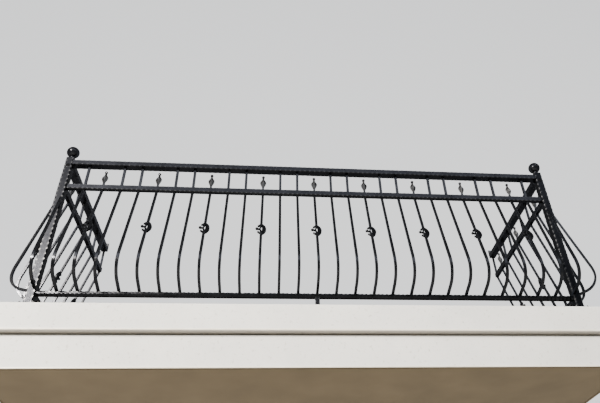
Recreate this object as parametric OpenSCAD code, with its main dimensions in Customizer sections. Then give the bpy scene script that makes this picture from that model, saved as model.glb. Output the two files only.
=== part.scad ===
// Balcony with a bellied wrought iron balustrade on a rendered slab.
// X runs along the front, Y runs from the street to the wall, Z is up.
// The origin is the middle of the footprint, at the underside of the slab.

/* [Balustrade] */
// Distance between the centres of the two corner posts
front_length = 3255; // [2400:5:4200]
// Distance from the front rail's centre line to the wall
side_depth = 1040; // [700:5:1400]
// Number of bars along the front between the posts
front_bars = 27; // [15:3:33]
// Number of bars along each side, with the last one at the wall
side_bars = 8; // [4:1:10]

/* [Heights above the floor] */
// Top of the bottom rail
bottom_rail_top = 100; // [70:1:150]
// Top of the mid rail
mid_rail_top = 889; // [760:1:940]
// Top of the handrail
handrail_top = 1089; // [1060:1:1105]
// Top of the square corner posts
post_top = 1113; // [1110:1:1260]

/* [Posts] */
// Width of a square corner post
post_w = 50; // [40:1:70]
// Diameter of the ball on a post
ball_d = 82; // [50:1:100]
// Height of the collar under the ball
collar_h = 20; // [12:1:40]
// Diameter of the collar under the ball
collar_d = 34; // [20:1:38]
// Width of a post's square base plate
plate_w = 96; // [80:1:110]
// Thickness of a base plate
plate_t = 8; // [5:1:12]
// How far the bar on a post's face stands inside the post's centre
post_bar_in = 17; // [0:1:24]
// Turn of the left corner's side bar towards the front, in degrees
left_splay = -8; // [-30:1:30]
// Turn of the right corner's side bar towards the front, in degrees
right_splay = 28; // [-30:1:30]

/* [Rails] */
// Height of the handrail
handrail_h = 35; // [20:1:50]
// Width of the handrail
handrail_w = 50; // [30:1:60]
// Height of the mid rail
mid_rail_h = 28; // [20:1:40]
// Width of the mid rail
mid_rail_w = 20; // [18:1:30]
// Height of the bottom rail
bottom_rail_h = 22; // [14:1:30]
// Width of the bottom rail
bottom_rail_w = 24; // [18:1:36]

/* [Bars] */
// Width of a square bar
bar = 14; // [10:1:16]
// How far the belly stands out from the rail line
belly_out = 160; // [130:1:200]
// Height of the belly's widest point above the bottom rail
belly_z = 138; // [125:1:180]
// Bend radius above the belly's widest point
belly_r_top = 220; // [170:1:260]
// Bend radius below the belly's widest point
belly_r_low = 110; // [80:1:115]

/* [Spears] */
// Width of a spear's four-sided bulb
bulb_w = 34; // [26:1:44]
// Height of a spear's bulb
bulb_h = 66; // [50:1:76]
// Height of the bulb's lower end above the mid rail
bulb_z = 28; // [14:1:32]
// Diameter of the ball on a spear's tip
tip_d = 16; // [12:1:20]

/* [Ornament] */
// Height of the ornament's middle above the bottom rail
ornament_z = 400; // [300:1:480]
// Height of the crescent between its horns
crescent_h = 96; // [80:1:110]
// How far the crescent's outer edge stands from the bar's centre
crescent_reach = 30; // [26:1:38]
// Width of the crescent at its middle
crescent_w = 15; // [8:1:17]
// Thickness of the crescent
crescent_t = 14; // [12:1:20]
// Bevel round the crescent's edges
crescent_bevel = 3; // [1:0.5:4]
// Depth of the notch that opens the bar into an eye beside the crescent
eye_depth = 6; // [3:0.5:7]
// Height of that notch
eye_h = 58; // [40:1:64]
// Thickness of a prong at its root
prong_d = 10.5; // [6:0.5:12]

/* [Wall flanges] */
// Width of a wall flange
flange_w = 50; // [46:1:60]
// How far a wall flange stands up or down past its rail
flange_lug = 42; // [34:1:60]
// Thickness of a wall flange
flange_t = 8; // [5:1:12]
// Distance between a flange's two bolt holes
flange_pitch = 26; // [22:1:30]
// Diameter of a flange's bolt holes
flange_hole_d = 9; // [7:1:11]

/* [Slab] */
// How far the slab's front stands out from the rail line
slab_front = 70; // [60:1:160]
// How far the slab runs past each post's centre
slab_side = 258; // [200:1:300]
// Height of the upper fascia band
upper_h = 164; // [120:1:240]
// Height of the lower fascia band
lower_h = 205; // [120:1:260]
// How far the upper band stands proud of the lower one
band_step = 40; // [20:1:60]
// Thickness of the rendered lower band
render_t = 80; // [60:1:100]
// Height of the shadow gap between the two bands
gap_h = 12; // [6:1:20]
// Depth of the shadow gap
gap_depth = 30; // [15:1:50]
// Thickness of the soffit board
soffit_t = 25; // [12:1:40]
// Thickness of the floor finish
finish_t = 20; // [10:1:40]

/* [Hidden] */
$fn = 48;

iron = [0.13, 0.13, 0.15];
plaster = [0.88, 0.88, 0.86];

// Slab: overall size, and the shift that centres the footprint on the origin
slab_h = upper_h + lower_h;
slab_length = front_length + 2 * slab_side;
slab_depth = slab_front + side_depth;
shift_y = (belly_out + bar / 2 - side_depth) / 2;
upper_t = render_t + band_step;
core_length = slab_length - 2 * upper_t;
core_depth = slab_depth - upper_t;

// Rail levels, measured from the top of the bottom rail
rail_level = slab_h + bottom_rail_top;
mid_z = mid_rail_top - bottom_rail_top;
hand_z = handrail_top - bottom_rail_top;

// Bars: pitch, lean of the upper run and slope of the foot
front_pitch = (front_length - 2 * post_bar_in) / (front_bars + 1);
wall_bar_x = side_depth - flange_t - bar / 2;
side_pitch = (wall_bar_x - post_bar_in) / side_bars;
bend_gap = 2;
bend_z = mid_z - mid_rail_h - bend_gap;
foot_rise = 0.55 * bar;
top_centre = [belly_r_top - belly_out, belly_z];
low_centre = [belly_r_low - belly_out, belly_z];
lean = asin(belly_r_top / norm([top_centre[0], bend_z - belly_z])) - atan2(top_centre[0], bend_z - belly_z);
foot_slope = atan2(belly_z - foot_rise, -low_centre[0]) - asin(belly_r_low / norm([low_centre[0], belly_z - foot_rise]));

// Spears and ornaments
stem_w = 0.8 * bar;
tip_z = bulb_z + bulb_h + 1.5 * tip_d;
ornament_y = -(bend_z - ornament_z) * tan(lean);
horn_z = crescent_h / 2;

// Every third bar is a spear, from the second one on along the front and from the first one on at the sides
front_x = [for (i = [1:front_bars]) post_bar_in - front_length / 2 + i * front_pitch];
side_x = [for (i = [1:side_bars]) post_bar_in + i * side_pitch];
front_plain_x = [for (i = [0:front_bars - 1]) if (i % 3 != 1) front_x[i]];
front_spear_x = [for (i = [1:3:front_bars - 1]) front_x[i]];
side_plain_x = [for (i = [0:side_bars - 1]) if (i % 3 != 0 || i == side_bars - 1) side_x[i]];
side_spear_x = [for (i = [0:3:side_bars - 2]) side_x[i]];

// A bar's outline in the Y-Z plane, along its outer (-1) or inner (1) face, from its top to its foot
top_steps = 4;
low_steps = 14;
ball_steps = 6;
function arc_point(centre, r, a) = centre + r * [-cos(a), sin(a)];
function bar_face(side, z_top) = concat(
    [[side * bar / 2, z_top], [side * bar / 2, bend_z - side * bar / 2 * tan(lean / 2)]],
    [for (i = [0:top_steps - 1]) arc_point(top_centre, belly_r_top - side * bar / 2, lean * (1 - i / top_steps))],
    [for (i = [0:low_steps]) arc_point(low_centre, belly_r_low - side * bar / 2, (foot_slope - 90) * i / low_steps)],
    foot_points(side, arc_point(low_centre, belly_r_low - side * bar / 2, foot_slope - 90)));
function foot_points(side, start) = side < 0
    ? [[-bar / 2, start[1] - (-bar / 2 - start[0]) * tan(foot_slope)], [-bar / 2, 0]]
    : [[bar / 2, start[1] - (bar / 2 - start[0]) * tan(foot_slope)], [bar / 2, 0]];
function backwards(v) = [for (i = [len(v) - 1:-1:0]) v[i]];

// Gives an outline drawn in the Y-Z plane a width along X
module thick_along_x(w) {
    rotate([90, 0, 90])
        translate([0, 0, -w / 2])
            linear_extrude(w) children();
}

// A bellied bar: straight to the mid rail, leaning out, round the belly and back to the bottom rail
module bellied_bar(z_top) {
    thick_along_x(bar)
        polygon(concat(bar_face(-1, z_top), backwards(bar_face(1, z_top))));
}

// Four-sided spear head on a stem that stands on the bar's end
module spear_head() {
    neck_z = bulb_z + 0.85 * bulb_h;
    translate([0, 0, mid_z]) {
        translate([-stem_w / 2, -stem_w / 2, 0])
            cube([stem_w, stem_w, bulb_z + bulb_h / 4]);
        rotate([0, 0, 45])
            intersection() {
                thick_along_x(bulb_w) bulb_outline();
                rotate([0, 0, 90]) thick_along_x(bulb_w) bulb_outline();
            }
        translate([0, 0, neck_z])
            cylinder(h = tip_z - neck_z, d = 0.5 * tip_d, $fn = 24);
        translate([0, 0, tip_z])
            sphere(d = tip_d, $fn = 24);
    }
}

// Half widths of the bulb across its flats, from its lower end to its neck
module bulb_outline() {
    half = bulb_w / sqrt(8);
    polygon([[-0.34 * half, bulb_z], [0.34 * half, bulb_z], [half, bulb_z + bulb_h / 2],
        [0.3 * half, bulb_z + bulb_h], [-0.3 * half, bulb_z + bulb_h], [-half, bulb_z + bulb_h / 2]]);
}

// The ornament's own frame: X across the bar, Y up along its leaning run, Z out of its face
module in_ornament_plane() {
    translate([0, ornament_y, ornament_z])
        rotate([90 - lean, 0, 0]) children();
}

// Radius of an arc from its rise and half its chord
function arc_radius(rise, half_chord) = (rise * rise + half_chord * half_chord) / (2 * rise);

// Tall crescent on one side of a spear bar and three prongs on the other
module ornament() {
    outer_r = arc_radius(crescent_reach, horn_z);
    inner_r = arc_radius(crescent_reach - crescent_w, 0.9 * horn_z);
    in_ornament_plane() {
        difference() {
            translate([crescent_reach - outer_r, 0, 0]) bevelled_disc(outer_r, -crescent_bevel);
            translate([crescent_reach - crescent_w - inner_r, 0, 0]) bevelled_disc(inner_r, crescent_bevel);
            over_bar(bar / 2 - 4 * crescent_h);
        }
        difference() {
            union() {
                prong([0, 0.87 * horn_z], [-0.5 * crescent_reach, 0.85 * horn_z], 1);
                prong([0, 0.1 * horn_z], [-0.83 * crescent_reach, 0.16 * horn_z], 1.2);
                prong([0, -0.8 * horn_z], [-0.57 * crescent_reach, -0.58 * horn_z], 1);
            }
            over_bar(-bar / 2);
        }
    }
}

// Notch that leaves half the bar beside the crescent
module eye() {
    notch_r = arc_radius(eye_depth, eye_h / 2);
    in_ornament_plane()
        translate([bar / 2 - eye_depth + notch_r, 0, 0]) cylinder(h = 3 * bar, r = notch_r, center = true, $fn = 96);
}

// Disc as thick as the crescent whose rim steps in or out by a bevel at both faces
module bevelled_disc(r, bevel) {
    half = crescent_t / 2;
    flat = half - abs(bevel);
    rotate_extrude($fn = 96)
        polygon([[0, -half], [r + bevel, -half], [r, -flat], [r, flat], [r + bevel, half], [0, half]]);
}

// The room that the bar takes, from x on
module over_bar(x) {
    translate([x, -2 * crescent_h, -crescent_h]) cube([4 * crescent_h, 4 * crescent_h, 2 * crescent_h]);
}

// Tapered prong between two points of the ornament's plane, turned in one piece with the ball at its end
module prong(root, tip, ball) {
    run = tip - root;
    translate([root[0], root[1], 0])
        rotate([0, 0, atan2(run[1], run[0])])
            rotate([0, 90, 0])
                rotate_extrude($fn = 24)
                    polygon(concat([[0, 0], [prong_d / 2, 0]], ball_points(norm(run), ball * prong_d / 2)));
}

// Half outline of a ball, from where the prong runs into it to its far end
function ball_points(centre, r) =
    let (from = asin(min(0.9, 0.3 * prong_d / r)))
    [for (k = [0 : ball_steps]) let (a = from + (180 - from) * k / ball_steps)
        [k < ball_steps ? r * sin(a) : 0, centre - r * cos(a)]];

// Places a panel that is drawn with its rail line on X, its outer side at -Y and the bottom rail's top at 0
module on_front() {
    translate([0, shift_y, rail_level]) children();
}
module on_left() {
    translate([-front_length / 2, shift_y, rail_level]) rotate([0, 0, -90]) children();
}
module on_right() {
    translate([front_length / 2, shift_y, rail_level]) rotate([0, 0, 90]) children();
}

// Repeats a piece at each place along the panel; way is -1 where the panel runs towards -X
module row(places, way = 1) {
    for (x = places)
        translate([way * x, 0, 0]) children();
}

module plain_bar() {
    bellied_bar(hand_z - handrail_h);
}
module spear_bar() {
    difference() {
        bellied_bar(mid_z);
        eye();
    }
    spear_head();
}

// Straight rail from x0 to x1 with its top at z_top
module rail(x0, x1, w, h, z_top) {
    translate([x0, -w / 2, z_top - h]) cube([x1 - x0, w, h]);
}

// Mid rail, punched for every bar
module mid_rail(x0, x1, places, way = 1) {
    difference() {
        rail(x0, x1, mid_rail_w, mid_rail_h, mid_z);
        row(places, way)
            translate([-bar / 2, -bar / 2, mid_z - 1.5 * mid_rail_h]) cube([bar, bar, 2 * mid_rail_h]);
    }
}

front_end = (front_length - post_w) / 2;
side_start = post_w / 2;
side_end = side_depth - flange_t;

module front_handrail() {
    color(iron) on_front() rail(-front_end, front_end, handrail_w, handrail_h, hand_z);
}
module front_mid_rail() {
    color(iron) on_front() mid_rail(-front_end, front_end, front_x);
}
module front_bottom_rail() {
    color(iron) on_front() rail(-front_end, front_end, bottom_rail_w, bottom_rail_h, 0);
}
module left_handrail() {
    color(iron) on_left() rail(-side_end, -side_start, handrail_w, handrail_h, hand_z);
}
module left_mid_rail() {
    color(iron) on_left() mid_rail(-side_end, -side_start, side_x, -1);
}
module left_bottom_rail() {
    color(iron) on_left() rail(-side_end, -side_start, bottom_rail_w, bottom_rail_h, 0);
}
module right_handrail() {
    color(iron) on_right() rail(side_start, side_end, handrail_w, handrail_h, hand_z);
}
module right_mid_rail() {
    color(iron) on_right() mid_rail(side_start, side_end, side_x);
}
module right_bottom_rail() {
    color(iron) on_right() rail(side_start, side_end, bottom_rail_w, bottom_rail_h, 0);
}

module front_plain_bars() {
    color(iron) on_front() row(front_plain_x) plain_bar();
}
module front_spear_bars() {
    color(iron) on_front() row(front_spear_x) spear_bar();
}
module left_plain_bars() {
    color(iron) on_left() row(side_plain_x, -1) plain_bar();
}
module left_spear_bars() {
    color(iron) on_left() row(side_spear_x, -1) spear_bar();
}
module right_plain_bars() {
    color(iron) on_right() row(side_plain_x) plain_bar();
}
module right_spear_bars() {
    color(iron) on_right() row(side_spear_x) spear_bar();
}
module front_ornaments() {
    color(iron) on_front() row(front_spear_x) ornament();
}
module left_ornaments() {
    color(iron) on_left() row(side_spear_x, -1) ornament();
}
module right_ornaments() {
    color(iron) on_right() row(side_spear_x) ornament();
}

// Corner posts, drawn at a panel's corner with the floor at -bottom_rail_top
module post() {
    translate([-post_w / 2, -post_w / 2, plate_t - bottom_rail_top])
        cube([post_w, post_w, post_top - plate_t]);
}
module base_plate(w) {
    translate([-w / 2, -w / 2, -bottom_rail_top]) cube([w, w, plate_t]);
}
module ball_finial() {
    translate([0, 0, post_top - bottom_rail_top]) {
        cylinder(h = collar_h + ball_d / 4, d = collar_d);
        translate([0, 0, collar_h + ball_d / 2]) sphere(d = ball_d);
    }
}

// The bellied bar beside a panel's row, turned by an angle and cut where it meets the post's outer face
module post_bar(way, turn = 0) {
    edge = post_w / 2 - 1 - bar / 2 * (cos(turn) + abs(sin(turn)));
    difference() {
        translate([way * min(post_bar_in, edge), 0, 0]) rotate([0, 0, turn]) bellied_bar(bend_z);
        translate([-post_w / 2, -post_w / 2, -bar]) cube([post_w, post_w, 2 * mid_z]);
    }
}

module left_post() {
    color(iron) on_left() post();
}
module right_post() {
    color(iron) on_right() post();
}
module left_ball_finial() {
    color(iron) on_left() ball_finial();
}
module right_ball_finial() {
    color(iron) on_right() ball_finial();
}
module left_base_plate() {
    color(iron) on_left() base_plate(plate_w);
}
module right_base_plate() {
    color(iron) on_right() base_plate(plate_w);
}
module left_post_bars() {
    color(iron) {
        on_left() post_bar(-1, left_splay);
        on_left() rotate([0, 0, 90]) post_bar(1);
    }
}
module right_post_bars() {
    color(iron) {
        on_right() post_bar(1, -right_splay);
        on_right() rotate([0, 0, -90]) post_bar(-1);
    }
}

// Short leg with a plate that carries the bottom rail at mid span
module centre_foot() {
    color(iron) on_front() {
        base_plate(1.6 * bottom_rail_w);
        translate([-bottom_rail_w / 2, -bottom_rail_w / 2, plate_t - bottom_rail_top])
            cube([bottom_rail_w, bottom_rail_w, bottom_rail_top - bottom_rail_h - plate_t]);
    }
}

// Plate on the wall at the end of a side rail: it runs past the rail from z0 to z1, with its two bolts at bolt_z
module wall_flange(way, z0, z1, bolt_z) {
    difference() {
        translate([way * side_depth - (way > 0 ? flange_t : 0), -flange_w / 2, z0])
            cube([flange_t, flange_w, z1 - z0]);
        for (dy = [-flange_pitch / 2, flange_pitch / 2])
            translate([way * side_depth, dy, bolt_z])
                rotate([0, 90, 0]) cylinder(h = 3 * flange_t, d = flange_hole_d, center = true, $fn = 32);
    }
}
module wall_flange_set(way) {
    wall_flange(way, -bottom_rail_h - flange_lug, 0, -bottom_rail_h - flange_lug / 2);
    wall_flange(way, hand_z - handrail_h, hand_z + flange_lug, hand_z + flange_lug / 2);
}
module left_wall_flanges() {
    color(iron) on_left() wall_flange_set(-1);
}
module right_wall_flanges() {
    color(iron) on_right() wall_flange_set(1);
}

// Band round the slab's front and both ends, between two insets from the slab's outer face
module band(outer, inner, z, h) {
    translate([0, shift_y, z])
        difference() {
            translate([-slab_length / 2 + outer, -slab_front + outer, 0])
                cube([slab_length - 2 * outer, slab_depth - outer, h]);
            translate([-slab_length / 2 + inner, -slab_front + inner, -h])
                cube([slab_length - 2 * inner, slab_depth, 3 * h]);
        }
}

// Block inside the bands, from z0 to z1
module core(z0, z1) {
    translate([-core_length / 2, shift_y - slab_front + upper_t, z0]) cube([core_length, core_depth, z1 - z0]);
}

module concrete_slab() {
    color([0.7, 0.7, 0.68]) core(soffit_t, slab_h - finish_t);
}
module upper_fascia() {
    color(plaster) band(0, upper_t, lower_h, upper_h);
}
module lower_fascia() {
    color(plaster) difference() {
        band(band_step, upper_t, 0, lower_h);
        band(0, band_step + gap_depth, lower_h - gap_h, 2 * gap_h);
    }
}
module soffit_board() {
    color([0.62, 0.55, 0.45]) core(0, soffit_t);
}
module floor_finish() {
    color([0.75, 0.74, 0.72]) core(slab_h - finish_t, slab_h);
}

concrete_slab();
upper_fascia();
lower_fascia();
soffit_board();
floor_finish();
left_post();
right_post();
left_ball_finial();
right_ball_finial();
left_base_plate();
right_base_plate();
centre_foot();
front_handrail();
front_mid_rail();
front_bottom_rail();
left_handrail();
left_mid_rail();
left_bottom_rail();
right_handrail();
right_mid_rail();
right_bottom_rail();
front_plain_bars();
front_spear_bars();
left_plain_bars();
left_spear_bars();
right_plain_bars();
right_spear_bars();
left_post_bars();
right_post_bars();
front_ornaments();
left_ornaments();
right_ornaments();
left_wall_flanges();
right_wall_flanges();
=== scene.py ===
# Balcony with a bellied wrought iron balustrade on a rendered slab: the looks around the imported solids.
import math
import random

import bmesh
import bpy
from mathutils import Matrix, Vector
from mathutils import noise as lumps


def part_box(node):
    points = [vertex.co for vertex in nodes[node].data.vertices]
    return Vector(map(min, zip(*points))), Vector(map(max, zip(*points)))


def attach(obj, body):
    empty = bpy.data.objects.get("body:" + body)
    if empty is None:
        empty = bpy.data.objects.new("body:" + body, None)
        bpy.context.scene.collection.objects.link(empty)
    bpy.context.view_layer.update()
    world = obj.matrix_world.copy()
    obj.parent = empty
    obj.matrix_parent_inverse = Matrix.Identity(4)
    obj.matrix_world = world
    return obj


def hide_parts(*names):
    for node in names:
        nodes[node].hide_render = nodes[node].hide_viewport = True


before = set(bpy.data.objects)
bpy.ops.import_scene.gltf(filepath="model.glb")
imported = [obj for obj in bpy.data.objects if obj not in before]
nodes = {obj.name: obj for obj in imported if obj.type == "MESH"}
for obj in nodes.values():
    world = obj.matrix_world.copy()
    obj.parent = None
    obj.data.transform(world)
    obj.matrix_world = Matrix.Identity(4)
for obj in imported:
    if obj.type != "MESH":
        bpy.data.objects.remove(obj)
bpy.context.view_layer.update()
mm = 0.001

print("frame loaded,", len(nodes), "nodes")


# Colours, nodes and materials

def linearColour(hexText):
    parts = [int(hexText[i:i + 2], 16) / 255 for i in (1, 3, 5)]
    return [p / 12.92 if p <= 0.04045 else ((p + 0.055) / 1.055) ** 2.4 for p in parts] + [1.0]


def perMetre(sizeMm):  # the scale at which a pattern comes out about sizeMm across
    return 1000 / sizeMm


def lumpsOf(place, sizeMm, detail=2.0, rough=0.5):  # inputs of a noise texture with lumps about sizeMm across
    return {"Vector": place, "Scale": perMetre(sizeMm), "Detail": detail, "Roughness": rough}


def fillInputs(tree, node, inputs):  # an input takes a value or another node's output
    for key, value in inputs.items():
        if isinstance(value, bpy.types.NodeSocket):
            tree.links.new(value, node.inputs[key])
        else:
            node.inputs[key].default_value = value


def addNode(tree, kind, inputs=None, out=0, stops=(), **settings):
    node = tree.nodes.new("ShaderNode" + kind)
    for name, value in settings.items():
        setattr(node, name, value)
    for k, (position, colour) in enumerate(stops):
        node.color_ramp.elements[k].position = position
        node.color_ramp.elements[k].color = linearColour(colour)
    fillInputs(tree, node, inputs or {})
    return node.outputs[out]


def startMaterial(name, roughness, metallic=0.0, specular=0.5):
    material = bpy.data.materials.new(name)
    material.use_nodes = True
    tree = material.node_tree
    shader = tree.nodes["Principled BSDF"]
    fillInputs(tree, shader, {"Roughness": roughness, "Metallic": metallic, "Specular IOR Level": specular})
    return material, tree, shader, addNode(tree, "TexCoord", out="Object")


# Wrought iron under graphite satin paint: nearly black, a soft metallic sheen from the flakes in it,
# and paler on the crests of the hammered edges: partly wear, partly a painted highlight for the glints there
def graphiteIron(name="graphiteIron", low="#1C1D20", high="#2A2B2E", sheen=0.24, dented=1.0):
    material, tree, shader, place = startMaterial(name, sheen, 0.85, 0.2)
    patches = addNode(tree, "TexNoise", lumpsOf(place, 90, 3))
    paint = addNode(tree, "ValToRGB", {"Fac": patches}, stops=((0.3, low), (0.7, high)))
    wearAndGlint = addNode(tree, "VertexColor", layer_name="wearAndGlint")
    broken = addNode(tree, "TexNoise", lumpsOf(place, 9, rough=0.6))
    patchy = addNode(tree, "MapRange", {"Value": broken, "From Min": 0.3, "From Max": 0.7, "To Min": 0.35})
    wornAndGlinting = addNode(tree, "Math", {0: wearAndGlint, 1: patchy}, operation="MULTIPLY")
    # the paler crest colour is partly wear, partly a painted highlight standing in for glints
    colour = addNode(tree, "Mix", {0: wornAndGlinting, 6: paint, 7: linearColour("#A3A4A6")}, 2, data_type="RGBA")
    flakes = addNode(tree, "TexNoise", lumpsOf(place, 6))
    gloss = addNode(tree, "MapRange", {"Value": flakes, "From Min": 0.3, "From Max": 0.7,
                                       "To Min": sheen - 0.06, "To Max": sheen + 0.08})
    dents = addNode(tree, "TexNoise", lumpsOf(place, 16))
    uneven = addNode(tree, "Bump", {"Height": dents, "Distance": 1.4 * mm, "Strength": 0.3 * dented})
    grainy = addNode(tree, "Bump", {"Height": flakes, "Distance": 0.2 * mm, "Strength": 0.15 * dented,
                                    "Normal": uneven})
    fillInputs(tree, shader, {"Base Color": colour, "Specular Tint": linearColour("#A0A2A6"),
                              "Roughness": gloss, "Normal": grainy})
    return material


# Fine white render, floated smooth: matt, with a faint grain, soft trowel waves and grey weather stains
def whiteRender(name="whiteRender", low="#E2E2DF", high="#F0EFEB"):
    material, tree, shader, place = startMaterial(name, 0.88, specular=0.25)
    clouds = addNode(tree, "TexNoise", lumpsOf(place, 420, 4, 0.6))
    lime = addNode(tree, "ValToRGB", {"Fac": clouds}, stops=((0.3, low), (0.7, high)))
    specks = addNode(tree, "TexNoise", lumpsOf(place, 22, 3, 0.7))
    stains = addNode(tree, "ValToRGB", {"Fac": specks}, stops=((0.28, "#D2D1CC"), (0.42, "#FFFFFF")))
    colour = addNode(tree, "Mix", {0: 0.7, 6: lime, 7: stains}, 2, data_type="RGBA", blend_type="MULTIPLY")
    trowel = addNode(tree, "TexNoise", lumpsOf(place, 70, 3))
    # sand of 1 mm, drawn at 7 mm so that it shows
    sand = addNode(tree, "TexNoise", lumpsOf(place, 7, rough=0.7))
    waves = addNode(tree, "Bump", {"Height": trowel, "Distance": 2.0 * mm, "Strength": 0.2})
    grain = addNode(tree, "Bump", {"Height": sand, "Distance": 0.9 * mm, "Strength": 0.3, "Normal": waves})
    fillInputs(tree, shader, {"Base Color": colour, "Normal": grain})
    return material


# Cast concrete: grey, with board marks 100 mm wide, air holes and cement stains
def castConcrete():
    material, tree, shader, place = startMaterial("castConcrete", 0.9)
    stains = addNode(tree, "TexNoise", lumpsOf(place, 260, 5, 0.6))
    grey = addNode(tree, "ValToRGB", {"Fac": stains}, stops=((0.3, "#85827B"), (0.7, "#A9A69E")))
    holes = addNode(tree, "TexVoronoi", {"Vector": place, "Scale": perMetre(38)})
    pits = addNode(tree, "MapRange", {"Value": holes, "From Min": 0.08, "From Max": 0.2})
    # the air holes are darkened: painted shade in the pits
    shade = addNode(tree, "ValToRGB", {"Fac": pits}, stops=((0.0, "#6A6762"), (0.6, "#FFFFFF")))
    colour = addNode(tree, "Mix", {0: 0.5, 6: grey, 7: shade}, 2, data_type="RGBA", blend_type="MULTIPLY")
    boards = addNode(tree, "TexWave", {"Vector": place, "Scale": perMetre(100) / math.tau, "Distortion": 0.4},
                     "Fac", bands_direction="Z")
    marks = addNode(tree, "Bump", {"Height": boards, "Distance": 1.0 * mm, "Strength": 0.3})
    sunk = addNode(tree, "Bump", {"Height": pits, "Distance": 1.5 * mm, "Strength": 0.5, "Normal": marks})
    fillInputs(tree, shader, {"Base Color": colour, "Normal": sunk})
    return material


# Pressed stoneware tile: matt, warm grey with fine speckles
def stonewareTile():
    material, tree, shader, place = startMaterial("stonewareTile", 0.55)
    clouds = addNode(tree, "TexNoise", lumpsOf(place, 160, 4, 0.6))
    clay = addNode(tree, "ValToRGB", {"Fac": clouds}, stops=((0.3, "#A0988B"), (0.7, "#B9B1A4")))
    specks = addNode(tree, "TexNoise", lumpsOf(place, 5, rough=0.7))
    dark = addNode(tree, "ValToRGB", {"Fac": specks}, stops=((0.3, "#8B857A"), (0.42, "#FFFFFF")))
    colour = addNode(tree, "Mix", {0: 0.6, 6: clay, 7: dark}, 2, data_type="RGBA", blend_type="MULTIPLY")
    gloss = addNode(tree, "MapRange", {"Value": specks, "From Min": 0.3, "From Max": 0.7,
                                       "To Min": 0.48, "To Max": 0.62})
    rough = addNode(tree, "Bump", {"Height": specks, "Distance": 0.4 * mm, "Strength": 0.25})
    fillInputs(tree, shader, {"Base Color": colour, "Roughness": gloss, "Normal": rough})
    return material


def mottledFinish(name, roughness, patches, colours, relief, depthMm, strength, metallic=0.0, specular=0.5):
    # two tones in patches over a fine relief, each of them a size in mm, a detail and a roughness
    material, tree, shader, place = startMaterial(name, roughness, metallic, specular)
    fields = []
    for sizes in (patches, relief):
        fields.append(addNode(tree, "TexNoise", lumpsOf(place, *sizes)))
    colour = addNode(tree, "ValToRGB", {"Fac": fields[0]}, stops=((0.3, colours[0]), (0.7, colours[1])))
    bump = addNode(tree, "Bump", {"Height": fields[1], "Distance": depthMm * mm, "Strength": strength})
    fillInputs(tree, shader, {"Base Color": colour, "Normal": bump})
    return material


ironMat = graphiteIron()
barMat = graphiteIron("graphiteBars", sheen=0.17, dented=0.5)
# One graphite paint in copies toned as painted light and shade: the posts, foot rails and ornaments darkened,
# the rails and balls toned for their highlights
postPaintedShadeMat = graphiteIron("graphitePosts", low="#121316", high="#191A1D", sheen=0.32, dented=0.5)
railPaintedLightMat = graphiteIron("graphiteRailsPaintedLight", low="#1A1B1E", high="#25262A", sheen=0.26)
footRailPaintedShadeMat = graphiteIron("graphiteFootRailsPaintedShade", low="#131416", high="#1E1F22", sheen=0.24)
ballPaintedHighlightMat = graphiteIron("graphiteBallsPaintedHighlight", low="#1F2023", high="#28292C", sheen=0.24, dented=0.5)
ornamentPaintedShadeMat = graphiteIron("graphiteOrnamentsPaintedShade", low="#101114", high="#17181A", sheen=0.36, dented=0.5)
renderMat = whiteRender()
undersideShadeMat = whiteRender("renderPaintedShade", "#9B968F", "#A8A39C")  # the same render under an edge, greyed as painted shade
concreteMat = castConcrete()
tileMat = stonewareTile()
# White plastic nose of the render's edge bead: extruded, smooth and slightly creamy, set paler than the
# render as a painted highlight along the arris
beadHighlightMat = mottledFinish("beadPlasticPaintedHighlight", 0.3, patches=(60, 2, 0.5), colours=("#F2ECDD", "#FBF6EA"),
                        relief=(12, 2, 0.5), depthMm=0.3, strength=0.2)
# Dark foam joint tape pressed into the shadow gap, its dark standing in as painted shade in the gap: matt and
# porous
gapShadeTapeMat = mottledFinish("jointTapePaintedShade", 0.95, patches=(5, 3, 0.7), colours=("#8E897F", "#A59F95"),
                        relief=(5, 3, 0.7), depthMm=0.8, strength=0.5)
# Brown painted render under the slab, its brown darkened as painted shade, and the same on the lower band's
# underside: matt, slightly blotched by the roller
soffitPaintAndShadeMat = mottledFinish("soffitPaintAndShade", 0.8, patches=(300, 3, 0.5), colours=("#5F533F", "#6A5D47"),
                          relief=(9, 3, 0.6), depthMm=0.9, strength=0.35, specular=0.3)
# Cement grout between the tiles: darker and sandy
groutMat = mottledFinish("cementGrout", 0.95, patches=(40, 3, 0.5), colours=("#68645D", "#7E7A72"),
                         relief=(4, 2, 0.5), depthMm=0.6, strength=0.4)
# Zinc plated steel of anchors and nuts: brighter than the paint, dulled by weather
boltMat = mottledFinish("anchorSteel", 0.42, patches=(12, 2, 0.5), colours=("#4C4D50", "#6A6B6D"),
                        relief=(5, 2, 0.5), depthMm=0.2, strength=0.3, metallic=0.9)
# Black polythene cap over a fixing screw: moulded and matt, black with its reflection cut low as painted
# shade of a hole
capPaintedShadeMat = mottledFinish("capPlasticPaintedShade", 0.9, patches=(10, 2, 0.5), colours=("#08090B", "#0F1012"),
                       relief=(4, 2, 0.5), depthMm=0.1, strength=0.2, specular=0.06)
print("materials made")


# Meshes

def newMesh():
    mesh = bmesh.new()
    mesh.verts.layers.float_color.new("wearAndGlint")
    return mesh


def finishPiece(name, mesh, materials, replaced=(), sharpDegrees=28):
    data = bpy.data.meshes.new(name)
    bmesh.ops.recalc_face_normals(mesh, faces=mesh.faces)
    mesh.to_mesh(data)
    mesh.free()
    piece = bpy.data.objects.new(name, data)
    bpy.context.scene.collection.objects.link(piece)
    for material in materials if isinstance(materials, (list, tuple)) else [materials]:
        data.materials.append(material)
    data.polygons.foreach_set("use_smooth", [True] * len(data.polygons))
    data.set_sharp_from_angle(angle=math.radians(sharpDegrees))
    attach(piece, "root")
    if replaced:
        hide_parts(*replaced)
    return piece


def bridge(mesh, a, b, indices):  # quads between two rings, with a material for each
    for i in range(len(a)):
        j = (i + 1) % len(a)
        mesh.faces.new((a[i], a[j], b[j], b[i])).material_index = indices[i]


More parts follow.
